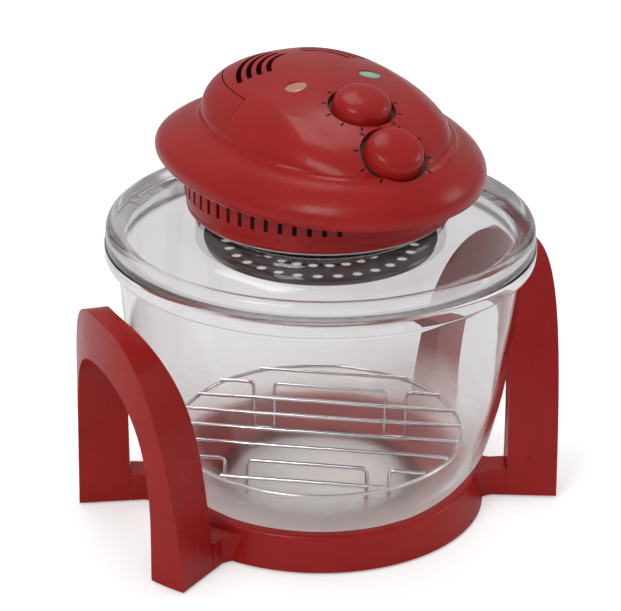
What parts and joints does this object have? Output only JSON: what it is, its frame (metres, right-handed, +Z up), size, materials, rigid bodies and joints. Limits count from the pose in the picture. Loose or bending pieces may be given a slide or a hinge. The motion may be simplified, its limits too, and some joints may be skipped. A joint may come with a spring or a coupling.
{
  "type": "halogen oven",
  "caption": "Countertop halogen oven: glass bowl in a plastic stand with two arch handles, wire rack, and a lift-off glass lid carrying heater, fan, timer and folding carry handle.",
  "frame": {"origin": "on the bowl's axis at the surface the oven stands on, under the middle of the whole", "axes": "+Z up along the bowl's axis, controls face -Y, arch handles on -X and +X"},
  "size_m": [0.3768, 0.33, 0.3606],
  "materials": {
    "red_plastic": "glossy moulded plastic",
    "clear_glass": "clear borosilicate glass",
    "chrome_wire": "polished chrome plate",
    "bright_sheet": "bright rolled sheet",
    "steel_sheet": "zinc plated sheet",
    "steel_screws": "zinc plated",
    "dark_rubber": "moulded rubber",
    "grey_silicone": "silicone",
    "black_plastic": "moulded plastic",
    "white_ceramic": "ceramic",
    "mica_board": "pressed insulation board",
    "quartz_tube": "quartz",
    "red_lens": "tinted lens",
    "green_lens": "tinted lens",
    "lamp_glass": "neon lamp",
    "laminated_steel": "laminated",
    "copper_coil": "enamelled winding under tape",
    "sintered_bronze": "sintered bronze"
  },
  "bodies": {
    "base": {"base_ring": "red_plastic", "arch_handle_right": "red_plastic", "arch_handle_left": "red_plastic", "stand_screws": "steel_screws", "rubber_feet": "dark_rubber"},
    "bowl": {"glass_bowl": "clear_glass"},
    "rack": {"rack_ring": "chrome_wire", "rack_wires": "chrome_wire", "rack_legs": "chrome_wire"},
    "lid": {"glass_lid": "clear_glass", "lid_gasket_upper": "grey_silicone", "lid_gasket_lower": "grey_silicone", "clamp_ring": "steel_sheet", "element_guard": "chrome_wire", "reflector": "bright_sheet", "insulation_disc": "mica_board", "chassis_plate": "steel_sheet", "clamp_screws": "steel_screws", "skirt_screws": "steel_screws", "heater_ring": "quartz_tube", "lamp_holders": "white_ceramic", "top_housing": "red_plastic", "handle_pins": "steel_screws", "skirt_housing": "red_plastic", "housing_screws": "steel_screws", "cord_gland": "black_plastic", "timer_dial": "black_plastic", "thermostat_dial": "black_plastic", "control_nuts": "steel_screws", "timer_case": "black_plastic", "thermostat_case": "black_plastic", "lens_power": "red_lens", "lens_heat": "green_lens", "indicator_lamps": "lamp_glass", "motor_core": "laminated_steel", "motor_coil": "copper_coil", "motor_brackets": "steel_sheet", "motor_bearings": "sintered_bronze", "motor_posts": "steel_sheet", "microswitch": "black_plastic", "terminal_block": "black_plastic", "thermal_cutout": "steel_sheet", "switch_button": "black_plastic"},
    "carry_handle": {"carry_handle": "red_plastic"},
    "timer_knob": {"timer_knob": "red_plastic", "timer_shaft": "steel_screws"},
    "thermostat_knob": {"thermostat_knob": "red_plastic", "thermostat_shaft": "steel_screws"},
    "rotor": {"motor_shaft": "steel_screws", "motor_rotor": "laminated_steel", "convection_fan": "bright_sheet", "cooling_fan": "black_plastic", "fan_nuts": "steel_screws"}
  },
  "joints": [
    {"name": "bowl_lift", "type": "slide", "parent": "base", "child": "bowl", "axis": [0, 0, 1], "range_m": [0, 0.18]},
    {"name": "lid_lift", "type": "slide", "parent": "bowl", "child": "lid", "axis": [0, 0, 1], "range_m": [0, 0.3]},
    {"name": "rack_lift", "type": "slide", "parent": "bowl", "child": "rack", "axis": [0, 0, 1], "range_m": [0, 0.21]},
    {"name": "handle_fold", "type": "hinge", "parent": "lid", "child": "carry_handle", "pos_m": [0, 0.009, 0.3345], "axis": [1, 0, 0], "range_deg": [0, 90]},
    {"name": "timer_turn", "type": "hinge", "parent": "lid", "child": "timer_knob", "pos_m": [0, -0.06, 0.345], "axis": [0, -0.2924, 0.9563], "range_deg": [-300, 0]},
    {"name": "thermostat_turn", "type": "hinge", "parent": "lid", "child": "thermostat_knob", "pos_m": [0, -0.108, 0.325], "axis": [0, -0.5, 0.866], "range_deg": [-270, 0]},
    {"name": "fan_spin", "type": "hinge", "parent": "lid", "child": "rotor", "pos_m": [0, 0, 0.26], "axis": [0, 0, 1], "continuous": true}
  ],
  "couplings": [
    {"joint": "rack_lift", "follows": "lid_lift", "ratio": 0.7}
  ]
}
